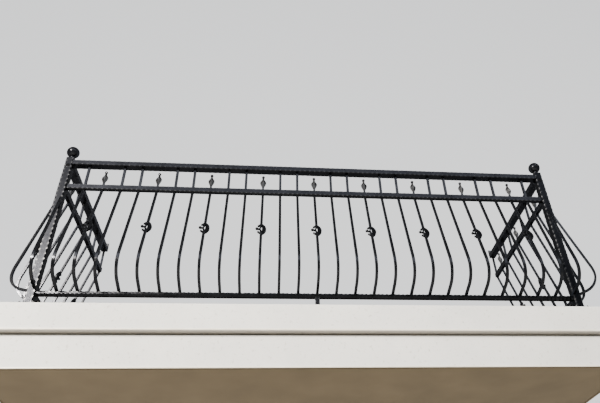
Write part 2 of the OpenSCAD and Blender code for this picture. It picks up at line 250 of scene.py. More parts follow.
def joinRings(mesh, rings, wearAndGlint=None, closed=False, index=0):
    layer = mesh.verts.layers.float_color["wearAndGlint"]
    loops = []
    for n, ring in enumerate(rings):
        loop = []
        for k, p in enumerate(ring):
            vertex = mesh.verts.new(p)
            amount = wearAndGlint[n][k] if wearAndGlint else 0.0
            vertex[layer] = (amount, amount, amount, 1.0)
            loop.append(vertex)
        loops.append(loop)
    for a, b in zip(loops, loops[1:]):
        bridge(mesh, a, b, [index] * len(a))
    if closed:
        bridge(mesh, loops[-1], loops[0], [index] * len(loops[0]))
    else:
        for loop in (loops[0], loops[-1]):
            mesh.faces.new(loop).material_index = index


def circle(count):  # the angles of points evenly round a circle
    return [2 * math.pi * k / count for k in range(count)]


def lathe(mesh, profile, matrix, count, index=0):  # profile of (radius, height), turned about Z
    rings = []
    for r, z in profile:
        rings.append([matrix @ Vector((r * math.cos(a), r * math.sin(a), z)) for a in circle(count)])
    joinRings(mesh, rings, index=index)


# How a hammer marks an edge: shares of the half section for the mark's shoulder and its deepest reach,
# powers below 1 for blows that are round with sharp crests, and above 1 for wear and painted highlight that
# stay on the crests, then how many strengths are drawn for the blows and how far apart the four edges start
# among them
hammerMark = {
    "shoulder": 0.45, "deepest": 0.96, "blowPower": 0.75, "wearAndGlintPower": 2, "strengths": 499, "apart": 97,
}
squareCorners = ((1, 1), (-1, 1), (-1, -1), (1, -1))


def squareRing(centre, across, out, halfAcross, halfOut, cuts, wornAndGlinting):
    # sixteen points of a square section with its four edges cut back: the wear and painted highlight stay on
    # the cuts
    ring, wearAndGlint = [], []
    for k, (sa, so) in enumerate(squareCorners):
        c = cuts[k]
        edge = hammerMark["shoulder"] * halfAcross
        inA = min(c + edge, hammerMark["deepest"] * halfAcross)
        inO = min(c + edge, hammerMark["deepest"] * halfOut)
        corner = [centre + across * sa * halfAcross + out * so * (halfOut - inO),
                  centre + across * sa * halfAcross + out * so * (halfOut - c),
                  centre + across * sa * (halfAcross - c) + out * so * halfOut,
                  centre + across * sa * (halfAcross - inA) + out * so * halfOut]
        ring += corner if k % 2 == 0 else corner[::-1]
        wearAndGlint += [0.0, wornAndGlinting[k], wornAndGlinting[k], 0.0]
    return ring, wearAndGlint


def hammerBlow(s, pitch, phase):  # 0 on the crest between two blows, 1 at the middle of a blow
    return abs(math.sin(math.pi * (s / pitch + phase))) ** hammerMark["blowPower"]


# how pale a crest is painted between blows: wear, and a painted highlight for the glints
def wornCrest(blow, strength=1.0):
    return strength * max(0.0, 1 - blow) ** hammerMark["wearAndGlintPower"]


def panelMatrix(side):  # local X along the rail, -Y outwards, 0 at the bottom rail's top
    low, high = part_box("%s_bottom_rail" % side)
    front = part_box("front_bottom_rail")
    middle = (front[0].y + front[1].y) / 2
    if side == "front":
        return Matrix.Translation((0, middle, high.z))
    turn = -math.pi / 2 if side == "left" else math.pi / 2
    return Matrix.Translation(((low.x + high.x) / 2, middle, high.z)) @ Matrix.Rotation(turn, 4, "Z")


def placesOf(node, side):  # where the bars of one node stand along their panel, in mm
    inverse = panelMatrix(side).inverted()
    points = [inverse @ v.co for v in nodes[node].data.vertices]
    floor = min(p.z for p in points)
    feet = sorted(p.x for p in points if p.z < floor + mm)
    groups = [[feet[0]]]
    for x in feet[1:]:
        if x - groups[-1][-1] > 20 * mm:  # more than a bar's width on, so the next bar
            groups.append([])
        groups[-1].append(x)
    return [(g[0] + g[-1]) / 2 / mm for g in groups]


def placed(rings, matrix):
    return [[matrix @ p for p in ring] for ring in rings]


def roughened(p, size, depth):  # moves a point by up to depth, in lumps of that size
    return p + Vector([lumps.noise(p / size + Vector((0, 0, 40 * k))) for k in range(3)]) * depth


weldShape = {
    "corner": 0.9, "sunk": 0.2, "thinnest": 0.75, "fattest": 1.15, "flat": 0.6, "wearAndGlint": 0.12, "sides": 6,
}


def weldRing(mesh, matrix, halfX, halfY, radius, seed):
    # lumpy bead round a square bar's end, in the matrix's XY plane
    s = weldShape
    rng = random.Random(str(seed))
    corner = radius * s["corner"]
    path = []
    for quarter, (sx, sy) in enumerate(squareCorners):
        for k in range(4):
            a = math.radians(90 * quarter + 30 * k)
            path.append(Vector((sx * (halfX - s["sunk"]) + corner * math.cos(a),
                                sy * (halfY - s["sunk"]) + corner * math.sin(a), 0)))
    rings = []
    for p in path:
        away = Vector((p.x / halfX, p.y / halfY, 0)).normalized()
        fat = radius * rng.uniform(s["thinnest"], s["fattest"])
        ring = []
        for b in circle(s["sides"]):
            offset = away * math.cos(b) * fat * s["flat"] + Vector((0, 0, math.sin(b) * fat))
            ring.append(matrix @ ((p + offset) * mm))
        rings.append(ring)
    joinRings(mesh, rings, [[rng.uniform(0.0, s["wearAndGlint"])] * s["sides"] for ring in rings], closed=True)


# The bellied bar: its line in the panel's Y-Z plane, in mm from the bottom rail's top

barShape = {
    "width": 14, "spread": 1.2, "bellyOut": 160, "bellyHeight": 138, "upperBend": 220, "lowerBend": 110,
    "belowMidRail": 2, "footRise": 7.7, "edge": 0.9,
    "step": 4.0, "topSteps": 8, "upperSteps": 14, "lowerSteps": 26,
    "hammerPitch": 31, "hammerDepth": 1.8, "hammerFrom": 12, "hammerTo": 440, "wearAndGlint": 0.22,
}
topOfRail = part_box("front_bottom_rail")[1].z
levels = {
    "mid": (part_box("front_mid_rail")[1].z - topOfRail) / mm,
    "midBottom": (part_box("front_mid_rail")[0].z - topOfRail) / mm,
    "hand": (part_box("front_handrail")[0].z - topOfRail) / mm,
}


def barLine(topZ):
    s = barShape
    bendZ = levels["midBottom"] - s["belowMidRail"]
    top = Vector((s["upperBend"] - s["bellyOut"], s["bellyHeight"]))
    low = Vector((s["lowerBend"] - s["bellyOut"], s["bellyHeight"]))
    rise = bendZ - s["bellyHeight"]
    lean = math.asin(s["upperBend"] / math.hypot(top.x, rise)) - math.atan2(top.x, rise)
    footRun = s["bellyHeight"] - s["footRise"]
    slope = math.atan2(footRun, -low.x) - math.asin(s["lowerBend"] / math.hypot(low.x, footRun))
    bend = Vector((0, bendZ))
    points = [bend]
    if topZ > bendZ:
        points = [Vector((0, topZ)).lerp(bend, k / s["topSteps"]) for k in range(s["topSteps"] + 1)]
    leanEnd = top + s["upperBend"] * Vector((-math.cos(lean), math.sin(lean)))
    steps = int((leanEnd - bend).length / s["step"])
    points += [bend.lerp(leanEnd, k / steps) for k in range(1, steps)]
    for k in range(s["upperSteps"] + 1):
        a = lean * (1 - k / s["upperSteps"])
        points.append(top + s["upperBend"] * Vector((-math.cos(a), math.sin(a))))
    for k in range(1, s["lowerSteps"] + 1):
        a = -(math.pi / 2 - slope) * k / s["lowerSteps"]
        points.append(low + s["lowerBend"] * Vector((-math.cos(a), math.sin(a))))
    points += [Vector((0, s["footRise"])), Vector((0, 0))]
    return points, lean


def barRings(line, x, rng):
    # rings along the bar, mitred at the bends, with hammered edges below the mid rail
    s = barShape
    half, wide = s["width"] / 2, s["width"] / 2 + s["spread"]  # hammered stock spreads a little sideways
    pitch = s["hammerPitch"] * rng.uniform(0.95, 1.05)
    phases = [rng.randrange(8) / 8 for _ in range(4)]
    depths = [s["hammerDepth"] * rng.uniform(0.8, 1.05) for _ in range(4)]
    rings, wearAndGlint, run = [], [], 0.0
    for i, p in enumerate(line):
        before = (p - line[i - 1]).normalized() if i else (line[1] - p).normalized()
        after = (line[i + 1] - p).normalized() if i < len(line) - 1 else before
        run += (p - line[i - 1]).length if i else 0
        normals = [Vector((-d.y, d.x)) for d in (before, after)]
        normal = (normals[0] + normals[1]).normalized()
        stretch = 1 / max(0.5, normal.dot(normals[0]))
        belowRail = levels["midBottom"] - p.y
        hammered = s["hammerFrom"] < belowRail < s["hammerTo"]
        cuts, wornAndGlinting = [], []
        for k in range(4):
            blow = hammerBlow(run, pitch, phases[k])
            cuts.append((s["edge"] + depths[k] * blow * hammered) * mm)
            wornAndGlinting.append(wornCrest(blow, s["wearAndGlint"]) if hammered else 0.0)
        centre = Vector((x, p.x, p.y)) * mm
        out = Vector((0, normal.x, normal.y))
        ring, paint = squareRing(centre, Vector((1, 0, 0)), out, wide * mm, half * stretch * mm, cuts, wornAndGlinting)
        rings.append(ring)
        wearAndGlint.append(paint)
    return rings, wearAndGlint


def footMatrix(matrix, x, z=0.0):
    return matrix @ Matrix.Translation(Vector((x, 0, z)) * mm)


def plainBars(side):
    rng = random.Random("plain" + side)
    line = barLine(levels["hand"])[0]
    mesh, matrix = newMesh(), panelMatrix(side)
    half = barShape["width"] / 2
    for x in placesOf("%s_plain_bars" % side, side):
        rings, wearAndGlint = barRings(line, x, rng)
        joinRings(mesh, placed(rings, matrix), wearAndGlint)
        weldRing(mesh, footMatrix(matrix, x, 1.0), half, half, 2.6, (side, x))
        weldRing(mesh, footMatrix(matrix, x, levels["hand"] - 1.2), half, half, 2.2, (side, x, 1))
    return finishPiece(side + "PlainBars", mesh, barMat, ["%s_plain_bars" % side])


for side in ("front", "left", "right"):
    plainBars(side)
print("plain bars swept")


# The spear bars: bar with a notch beside the crescent, a stem, and a four-sided bulb drawn out to a ball

spearShape = {
    # radii and heights of the stem, the bulb, the neck and the ball
    "stem": 7.2, "foot": 25, "bulb": 20.5, "widest": 67, "thin": 6.8, "neck": 101, "ballRadius": 10.0,
    "ball": 115.5, "belowPower": 0.68, "abovePower": 0.9, "wearAndGlint": 0.7,
    "bulbSteps": 22, "ballSteps": 9, "sides": 16,
}
eyeShape = {"height": 407, "depth": 8.4, "tall": 58, "bow": 2.6}


def spearRings(x):
    s = spearShape
    rings, wearAndGlint = [], []

    def ring(z, reachOf, wornAndGlinting):
        points = []
        for a in circle(s["sides"]):
            r = reachOf(abs(math.cos(a)), abs(math.sin(a)))
            points.append(Vector((x + r * math.cos(a), r * math.sin(a), levels["mid"] + z)) * mm)
        rings.append(points)
        wearAndGlint.append([wornAndGlinting * (1.0 if k % 4 == 0 else 0.45) for k in range(s["sides"])])  # most on the edges

    for z in (0, 4, 9, 14, 19, 23, 25):  # square stem, drawn in a little towards the bulb
        half = s["stem"] * (1 - 0.12 * z / s["foot"])
        ring(z, lambda c, d, h=half: min(h / max(c, d), h * 1.28), 0.05)
    for k in range(s["bulbSteps"] + 1):  # the bulb stands with one edge to the front
        z = s["foot"] + (s["neck"] - s["foot"]) * k / s["bulbSteps"]
        if z < s["widest"]:
            t = (z - s["foot"]) / (s["widest"] - s["foot"])
            swell = (0.5 - 0.5 * math.cos(math.pi * t)) ** s["belowPower"]
            reach = s["stem"] + (s["bulb"] - s["stem"]) * swell
        else:
            t = (z - s["widest"]) / (s["neck"] - s["widest"])
            swell = (0.5 + 0.5 * math.cos(math.pi * t)) ** s["abovePower"]
            reach = s["thin"] + (s["bulb"] - s["thin"]) * swell
        # the bulb's rings are painted pale, most on its edges: a painted highlight on its lit facets
        ring(z, lambda c, d, h=reach: h / (c + d), s["wearAndGlint"])
    radius = s["ballRadius"]
    for z in (102, 103.5, 105, 106.5):
        ring(z, lambda c, d: s["thin"] * (1.0 - 0.1 * (z > 103)), 0.05)
    start = math.asin(s["thin"] * 0.9 / radius)
    for k in range(s["ballSteps"] + 1):
        a = start + (math.pi - start) * k / s["ballSteps"]
        ring(s["ball"] - radius * math.cos(a), lambda c, d, h=radius * math.sin(a): max(0.15, h), 0.08)
    return rings, wearAndGlint


def notchedRings(line, lean, x, rng):
    rings, wearAndGlint = barRings(line, x, rng)
    s = eyeShape
    radius = (s["depth"] ** 2 + (s["tall"] / 2) ** 2) / (2 * s["depth"])
    half = barShape["width"] / 2
    for i, p in enumerate(line):
        away = (p.y - s["height"]) / math.cos(lean)
        if p.y > levels["midBottom"] or abs(away) >= s["tall"] / 2:
            continue
        limit = half - (math.sqrt(radius ** 2 - away ** 2) - (radius - s["depth"]))
        swing = s["bow"] * (1 - abs(2 * away / s["tall"]))
        for q in rings[i]:
            q.x = (min(q.x / mm, x + limit) - swing) * mm
    return rings, wearAndGlint


def spearBars(side):
    rng = random.Random("spear" + side)
    line, lean = barLine(levels["mid"])
    mesh, matrix = newMesh(), panelMatrix(side)
    half = barShape["width"] / 2
    for x in placesOf("%s_spear_bars" % side, side):
        rings, wearAndGlint = notchedRings(line, lean, x, rng)
        joinRings(mesh, placed(rings, matrix), wearAndGlint)
        rings, wearAndGlint = spearRings(x)
        joinRings(mesh, placed(rings, matrix), wearAndGlint)
        weldRing(mesh, footMatrix(matrix, x, 1.0), half, half, 2.6, (side, x))
        weldRing(mesh, footMatrix(matrix, x, levels["mid"] + 1.0), half, half, 1.8, (side, x, 1))
    return finishPiece(side + "SpearBars", mesh, barMat, ["%s_spear_bars" % side], 24)


for side in ("front", "left", "right"):
    spearBars(side)
print("spear bars swept")


# The ornament: a tall crescent right of the bar and three prongs with balls left of it

ornamentShape = {
    "height": 400, "tall": 53, "end": 49.5, "reach": 31, "inner": 5.2, "thick": 16, "bevel": 2.6,
    "thinTip": 12, "steps": 36, "prongSteps": 7, "prongSides": 10, "ballWearAndGlint": 0.02,
    # each prong's root, bend and tip beside the bar, then its radius at the root, at the tip and of the ball
    "prongs": (((-2, 46), (-8, 45), (-14.5, 36), 6.2, 6.0, 7.4),
               ((-7, 3), (-14, 3), (-22, 6), 7.6, 6.6, 9.8),
               ((-2, -36), (-10, -36), (-16, -27), 6.4, 6.2, 7.2)),
}


def crescentRings():
    s = ornamentShape
    outer = (s["reach"] ** 2 + s["tall"] ** 2) / (2 * s["reach"])
    innerTall = 0.9 * s["tall"]
    inner = (s["inner"] ** 2 + innerTall ** 2) / (2 * s["inner"])
    rings = []
    for k in range(s["steps"] + 1):
        v = s["end"] * (2 * k / s["steps"] - 1)
        far = s["reach"] - outer + math.sqrt(outer ** 2 - v ** 2)
        near = s["inner"] - inner + math.sqrt(max(0, inner ** 2 - v ** 2))
        near = min(max(near, 3.5), far - 0.6)
        width = far - near
        half = s["thick"] / 2 * (0.5 + 0.5 * min(1, width / s["thinTip"]))
        bevel = min(s["bevel"], 0.3 * width)
        below = ((near, -half + bevel), (near + bevel, -half), (far - bevel, -half), (far, -half + bevel))
        above = ((far, half - bevel), (far - bevel, half), (near + bevel, half), (near, half - bevel))
        rings.append([Vector((x, v, z)) for x, z in below + above])
    return rings


def prongRings(root, bend, tip, rootRadius, tipRadius, ballRadius):
    # a tapered stem along a curve from root to tip, with a ball over its tip
    root, bend, tip = Vector(root), Vector(bend), Vector(tip)
    steps, sides = ornamentShape["prongSteps"], ornamentShape["prongSides"]
    rings, wearAndGlint = [], []

    def at(t):
        return root * (1 - t) ** 2 + bend * 2 * t * (1 - t) + tip * t ** 2

    def ring(centre, ahead, r, wornAndGlinting):
        side = Vector((-ahead.y, ahead.x))
        rings.append([Vector((centre.x + side.x * r * math.cos(a), centre.y + side.y * r * math.cos(a),
                              r * math.sin(a))) for a in circle(sides)])
        wearAndGlint.append([wornAndGlinting] * sides)

    for k in range(steps + 1):
        t = k / steps
        ahead = (at(min(1, t + 0.02)) - at(max(0, t - 0.02))).normalized()
        ring(at(t), ahead, rootRadius + (tipRadius - rootRadius) * k / steps, 0.0)
    ahead = (tip - at(0.96)).normalized()
    start = math.asin(min(0.95, tipRadius / ballRadius))
    for k in range(1, steps + 1):
        a = start + (math.pi - start) * k / steps
        along = -ballRadius * math.cos(a) + ballRadius * 0.5
        ring(tip + ahead * along, ahead, max(0.1, ballRadius * math.sin(a)), ornamentShape["ballWearAndGlint"])
    return rings, wearAndGlint


def ornaments(side):
    s = ornamentShape
    lean = barLine(levels["mid"])[1]
    bendZ = levels["midBottom"] - barShape["belowMidRail"]
    lineY = -(bendZ - s["height"]) * math.tan(lean)
    mesh = newMesh()
    for x in placesOf("%s_spear_bars" % side, side):
        matrix = (panelMatrix(side) @ Matrix.Translation(Vector((x, lineY, s["height"])) * mm)
                  @ Matrix.Rotation(math.pi / 2 - lean, 4, "X") @ Matrix.Scale(mm, 4))
        joinRings(mesh, placed(crescentRings(), matrix))
        for prong in s["prongs"]:
            rings, wearAndGlint = prongRings(*prong)
            joinRings(mesh, placed(rings, matrix), wearAndGlint)
    return finishPiece(side + "Ornaments", mesh, ornamentPaintedShadeMat, ["%s_ornaments" % side], 32)


for side in ("front", "left", "right"):
    ornaments(side)
print("ornaments forged")


# Rails and posts: square stock with hammered edges

# The front rails' street edges are hammered otherwise: for an edge of the section, by its number in
# squareCorners, how much further it is drawn in and how much deeper its blows are
railShape = {
    "step": 4.0, "edge": 1.2, "weld": 2.4,
    "handrail": {"pitch": 33, "depth": 2.2, "spread": 1.3, "wearAndGlint": 0.12},
    "mid_rail": {"pitch": 31.5, "depth": 1.8, "spread": 4.4, "wearAndGlint": 0.2},
    "bottom_rail": {"pitch": 25, "depth": 2.4, "spread": 2.8, "wearAndGlint": 0.42},
    "streetEdges": {
        "mid_rail": {2: (0, 2.4), 3: (0, -1.2)},
        "bottom_rail": {1: (0, 5.2), 2: (5.0, 4.6), 3: (0, -1.4)},
    },
}
postShape = {"pitch": 37, "depth": 5.6, "edge": 1.2, "step": 4.6, "wearAndGlint": 0.3, "weld": 4.0}


def hammeredLength(start, end, across, out, halfAcross, halfOut, shape, rng):
    length = (end - start).length
    count = max(2, round(length / (shape["step"] * mm)))
    phases = [rng.random() for _ in range(4)]
    stretch = [rng.uniform(0.97, 1.03) for _ in range(4)]
    strengths = [rng.uniform(0.6, 1.08) for _ in range(hammerMark["strengths"])]
    rings, wearAndGlint = [], []
    for k in range(count + 1):
        s = length * k / count / mm
        cuts, wornAndGlinting = [], []
        for c in range(4):
            pitch = shape["pitch"] * stretch[c]
            number = int(s / pitch + phases[c]) + hammerMark["apart"] * c
            strength = strengths[number % len(strengths)]  # no two blows fall alike
            blow = hammerBlow(s, pitch, phases[c])
            drawn, deeper = shape.get("edges", {}).get(c, (0, 0))
            cuts.append((shape["edge"] + drawn + (shape["depth"] + deeper) * strength * blow) * mm)
            wornAndGlinting.append(wornCrest(blow, shape["wearAndGlint"] * (drawn == 0)))
        ring, paint = squareRing(start.lerp(end, k / count), across, out, halfAcross, halfOut, cuts, wornAndGlinting)
        rings.append(ring)
        wearAndGlint.append(paint)
    return rings, wearAndGlint


def hammeredUpright(middle, bottom, top, halfX, halfY, shape, seed):
    start, end = Vector((middle.x, middle.y, bottom)), Vector((middle.x, middle.y, top))
    return hammeredLength(start, end, Vector((1, 0, 0)), Vector((0, 1, 0)), halfX, halfY, shape,
                          random.Random(seed))


def railPiece(side, kind):
    node = "%s_%s" % (side, kind)
    low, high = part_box(node)
    middle, half = (low + high) / 2, (high - low) / 2
    along = 0 if side == "front" else 1
    start, end = middle.copy(), middle.copy()
    start[along], end[along] = low[along], high[along]
    across = Vector((0, 1, 0)) if along == 0 else Vector((1, 0, 0))
    shape = dict(railShape[kind], step=railShape["step"], edge=railShape["edge"])
    if side == "front":
        shape["edges"] = railShape["streetEdges"].get(kind, {})
    mesh = newMesh()
    spread = shape["spread"] * mm
    rings, wearAndGlint = hammeredLength(start, end, across, Vector((0, 0, 1)), half[1 - along] + spread,
                                   half.z + spread, shape, random.Random(node))
    joinRings(mesh, rings, wearAndGlint)
    ahead = (end - start).normalized()
    for p, way in ((start, 1), (end, -1)):  # beads where the rail dies into a post
        if side != "front" and p is end:
            continue
        turn = Matrix((across, Vector((0, 0, 1)), ahead * way)).transposed().to_4x4()
        weldRing(mesh, Matrix.Translation(p + ahead * way * mm) @ turn, half[1 - along] / mm, half.z / mm,
                 railShape["weld"], (node, way))
    names = {"handrail": "Handrail", "mid_rail": "MidRail", "bottom_rail": "BottomRail"}
    paint = footRailPaintedShadeMat if kind == "bottom_rail" else railPaintedLightMat
    return finishPiece(side + names[kind], mesh, paint, [node])


for side in ("front", "left", "right"):
    for kind in ("handrail", "mid_rail", "bottom_rail"):
        railPiece(side, kind)


def cornerPost(side):
    node = side + "_post"
    low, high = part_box(node)
    middle, half = (low + high) / 2, (high - low) / 2
    mesh = newMesh()
    rings, wearAndGlint = hammeredUpright(middle, low.z, high.z, half.x, half.y, postShape, node)
    joinRings(mesh, rings, wearAndGlint)
    weldRing(mesh, Matrix.Translation((middle.x, middle.y, low.z + 1.5 * mm)), half.x / mm, half.y / mm,
             postShape["weld"], node)
    return finishPiece(side + "Post", mesh, postPaintedShadeMat, [node])


for side in ("left", "right"):
    cornerPost(side)
print("rails and posts swept")


# The bars on the posts' faces: the same bellied bar, in line with each row, cut where the post stands

postBarShape = {"inside": 17, "leftTurn": -8, "rightTurn": -28, "bury": 1.5}


def postBars(side):
    s = postBarShape
    rng = random.Random("postBars" + side)
    line = barLine(0)[0]
    way = -1 if side == "left" else 1
    low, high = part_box(side + "_post")
    mesh = newMesh()
    postHalf = (high.x - low.x) / 2 / mm
    for turn, matrix, x in (
            (s[side + "Turn"], panelMatrix(side), way),
            (0, panelMatrix(side) @ Matrix.Rotation(-way * math.pi / 2, 4, "Z"), -way)):
        a = math.radians(turn)
        edge = postHalf - 1 - barShape["width"] / 2 * (math.cos(a) + abs(math.sin(a)))
        place = Matrix.Translation(Vector((x * min(s["inside"], edge), 0, 0)) * mm)
        shift = place @ Matrix.Rotation(a, 4, "Z")
        rings, wearAndGlint = barRings(line, 0, rng)
        keep = []
        for ring in rings:
            inside = (shift @ (sum(ring, Vector()) / len(ring))).y / mm > -postHalf + s["bury"]
            keep.append(not inside)
        first, last = keep.index(True) - 1, len(keep) - keep[::-1].index(True)
        joinRings(mesh, placed(rings[max(0, first):last + 1], matrix @ shift), wearAndGlint[max(0, first):last + 1])
    return finishPiece(side + "PostBars", mesh, barMat, [side + "_post_bars"])


for side in ("left", "right"):
    postBars(side)


# Hollow ball on a turned collar: pressed in two halves, the seam between them ground nearly flush

ballShape = {"seam": 0.35, "seamWidth": 0.03, "collar": 17.0, "bead": 2.2, "steps": 40}


def ballFinial(side):
    node = side + "_ball_finial"
    low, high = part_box(node)
    radius = (high.x - low.x) / 2 / mm
    tall = (high.z - low.z) / mm
    s = ballShape
    rim, bead = s["collar"], s["bead"]
    profile = [(0.1, 0), (rim, 0), (rim, 1.5), (rim - 1.2, 3), (rim - 4, 4.5)]
    profile += [(rim - 4.5 + bead * math.sin(math.pi * k / 6), 6 + 2 * bead * k / 6) for k in range(7)]
    neck = rim - 5
    profile += [(neck, 11.5), (neck + 0.6, 14)]
    centre = tall - radius
    start = math.asin((neck + 1.5) / radius)
    for k in range(s["steps"] + 1):
        a = start + (math.pi - start) * k / s["steps"]
        bulge = s["seam"] * math.exp(-((a - math.pi / 2) / s["seamWidth"]) ** 2)
        profile.append((max(0.1, radius * math.sin(a) - s["seam"] + bulge), centre - radius * math.cos(a)))
    mesh = newMesh()
    matrix = Matrix.Translation(((low.x + high.x) / 2, (low.y + high.y) / 2, low.z)) @ Matrix.Scale(mm, 4)
    lathe(mesh, profile, matrix, 48)
    return finishPiece(side + "BallFinial", mesh, ballPaintedHighlightMat, [node], 40)


for side in ("left", "right"):
    ballFinial(side)
print("balls turned")


# Plates, bolts and caps

plateShape = {"gap": 0.4, "bevel": 1.2, "corner": 2.0, "boltInset": 12, "stud": 4, "wallBoltOut": 13}
towardsStreet = Matrix(((1, 0, 0), (0, 0, -1), (0, 1, 0))).to_4x4()  # turns what faces up to the street


def bevelledPlate(mesh, matrix, halfX, halfY, thick):  # stands on the matrix's XY plane
    bevel, gap, corner = plateShape["bevel"], plateShape["gap"], plateShape["corner"]
    rings = []
    for z, inset in ((gap, bevel * 0.6), (gap + bevel * 0.6, 0), (thick - bevel, 0), (thick, bevel)):
        hx, hy = halfX - inset, halfY - inset
        ring = []
        for sx, sy in squareCorners:
            pair = [Vector((sx * hx, sy * (hy - corner), z)), Vector((sx * (hx - corner), sy * hy, z))]
            ring += pair if sx * sy > 0 else pair[::-1]
        rings.append([matrix @ (roughened(p, 9, 0.25) * mm) for p in ring])
    joinRings(mesh, rings, [[0.0] * 8, [0.1] * 8, [0.2] * 8, [0.1] * 8])


def hexBolt(mesh, place, across=13, washer=9.5, stud=0.0):
    # washer, nut and a rounded stud end, in the piece's second material
    matrix = place @ Matrix.Scale(mm, 4)
    lathe(mesh, [(0.1, 0), (washer, 0), (washer, 1.0), (washer - 0.5, 1.5), (0.1, 1.5)], matrix, 24, 1)
    corner = across / math.sqrt(3)
    lathe(mesh, [(corner, 1.4), (corner, 6.4), (corner * 0.88, 7.6)], matrix, 6, 1)
    thread, tip = across * 0.3, 8.4 + stud
    end = [(0.1, 7), (thread, 7), (thread, tip), (thread * 0.8, tip + 1.0), (0.1, tip + 1.2)]
    lathe(mesh, end, matrix, 16, 1)


def basePlate(side):
    node = side + "_base_plate"
    low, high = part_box(node)
    middle, half = (low + high) / 2, (high - low) / 2 / mm
    mesh = newMesh()
    at = Matrix.Translation((middle.x, middle.y, low.z))
    bevelledPlate(mesh, at, half.x, half.y, 2 * half.z)
    outX, outY = half.x - plateShape["boltInset"], half.y - plateShape["boltInset"]
    for sx in (-1, 1):
        for sy in (-1, 1):
            place = Matrix.Translation(Vector((sx * outX, sy * outY, 2 * half.z)) * mm)
            hexBolt(mesh, at @ place @ Matrix.Rotation(0.4 * sx + sy, 4, "Z"), stud=plateShape["stud"])
    return finishPiece(side + "BasePlate", mesh, [ironMat, boltMat], [node])


def wallFlanges(side):
    node = side + "_wall_flanges"
    points = [v.co for v in nodes[node].data.vertices]
    wallY = max(p.y for p in points)
    cut = (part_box(node)[0].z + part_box(node)[1].z) / 2
    mesh = newMesh()
    for group in ([p for p in points if p.z < cut], [p for p in points if p.z > cut]):
        lowZ, highZ = min(p.z for p in group), max(p.z for p in group)
        wide = (max(p.x for p in group) - min(p.x for p in group)) / 2
        thick = wallY - min(p.y for p in group)
        middleX = (max(p.x for p in group) + min(p.x for p in group)) / 2
        at = Matrix.Translation((middleX, wallY, (lowZ + highZ) / 2)) @ towardsStreet
        bevelledPlate(mesh, at, wide / mm, (highZ - lowZ) / 2 / mm, thick / mm)
        holes = [p.z for p in group if lowZ + 4 * mm < p.z < highZ - 4 * mm]
        boltZ = (min(holes) + max(holes)) / 2
        for way in (-1, 1):
            boltX = middleX + way * plateShape["wallBoltOut"] * mm
            place = Matrix.Translation((boltX, wallY - thick, boltZ))
            hexBolt(mesh, place @ towardsStreet, across=11, washer=8)
    return finishPiece(side + "WallFlanges", mesh, [ironMat, boltMat], [node])


footShape = {"plate": 8, "stem": 13.2, "pitch": 26, "depth": 2.4, "edge": 1.2, "step": 3.0, "wearAndGlint": 0.9}


def centreFoot():
    low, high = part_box("centre_foot")
    middle, half = (low + high) / 2, (high - low) / 2 / mm
    plateTop, stem = low.z + footShape["plate"] * mm, footShape["stem"]
    mesh = newMesh()
    bevelledPlate(mesh, Matrix.Translation((middle.x, middle.y, low.z)), half.x, half.y, footShape["plate"])
    rings, wearAndGlint = hammeredUpright(middle, plateTop, high.z, stem * mm, stem * mm, footShape, "foot")
    joinRings(mesh, rings, wearAndGlint)
    weldRing(mesh, Matrix.Translation((middle.x, middle.y, plateTop + mm)), stem, stem, 2.8, "foot")
    weldRing(mesh, Matrix.Translation((middle.x, middle.y, high.z - 1.2 * mm)), stem, stem, 2.4, "footTop")
    return finishPiece("centreFoot", mesh, ironMat, ["centre_foot"])


# A dished plug with a low rim, in a ring of thick paint; the heights count from the bottom rail's top
capShape = {
    "low": 52, "high": 940, "radius": 12.5, "rise": 1.4, "sunk": 0.3, "sides": 28,
    "dish": (0.96, 0.9, 0.75, 0.5), "ring": ((2.6, -0.2), (2.4, 0.8), (0.4, 1.1), (0.2, -0.2)),
}


def fixingCaps():
    s = capShape
    mesh = newMesh()
    plug = [(0.1, 0), (s["radius"], 0), (s["radius"], s["rise"])]
    plug += [(s["radius"] * share, s["rise"] * (0.3 + 0.7 * share ** 6)) for share in s["dish"]]
    plug += [(0.1, 0.3 * s["rise"])]
    ring = [(s["radius"] + out, z) for out, z in s["ring"]]
    for side in ("left", "right"):
        low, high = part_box(side + "_post")
        for z in (s["low"], s["high"]):
            place = Matrix.Translation(((low.x + high.x) / 2, low.y + s["sunk"] * mm, topOfRail + z * mm))
            matrix = place @ towardsStreet @ Matrix.Scale(mm, 4)
            lathe(mesh, plug, matrix, s["sides"])
            lathe(mesh, ring, matrix, s["sides"], 1)
    return finishPiece("fixingCaps", mesh, [capPaintedShadeMat, postPaintedShadeMat], (), 35)


for side in ("left", "right"):
    basePlate(side)
    wallFlanges(side)
centreFoot()
fixingCaps()
print("plates, bolts and caps set")


# Rendered bands: each profile runs round the left end, the front and the right end, mitred at the corners.
# It is a closed loop of (inset, height) in mm from the slab's outer face and underside, and each of its edges
# has the number of a material: 0 render, 1 bead (paler as painted highlight), 2 tape (painted shade in the
# gap), 3 the underside in painted shade: the greyed render under the upper band, the soffit's paint under the
# lower

bandShape = {
    "step": 45, "wave": 0.9, "waveLength": 260, "inner": 120, "upperRound": 7, "lowerRound": 5,
    "lowerInset": 40, "shadowGap": 12, "gapDepth": 70,
    "bead": ((1.0, 9.0), (0.4, 7.5), (0.0, 5.0), (0.3, 2.0), (1.6, 0.3), (4.0, 0.0)),
}


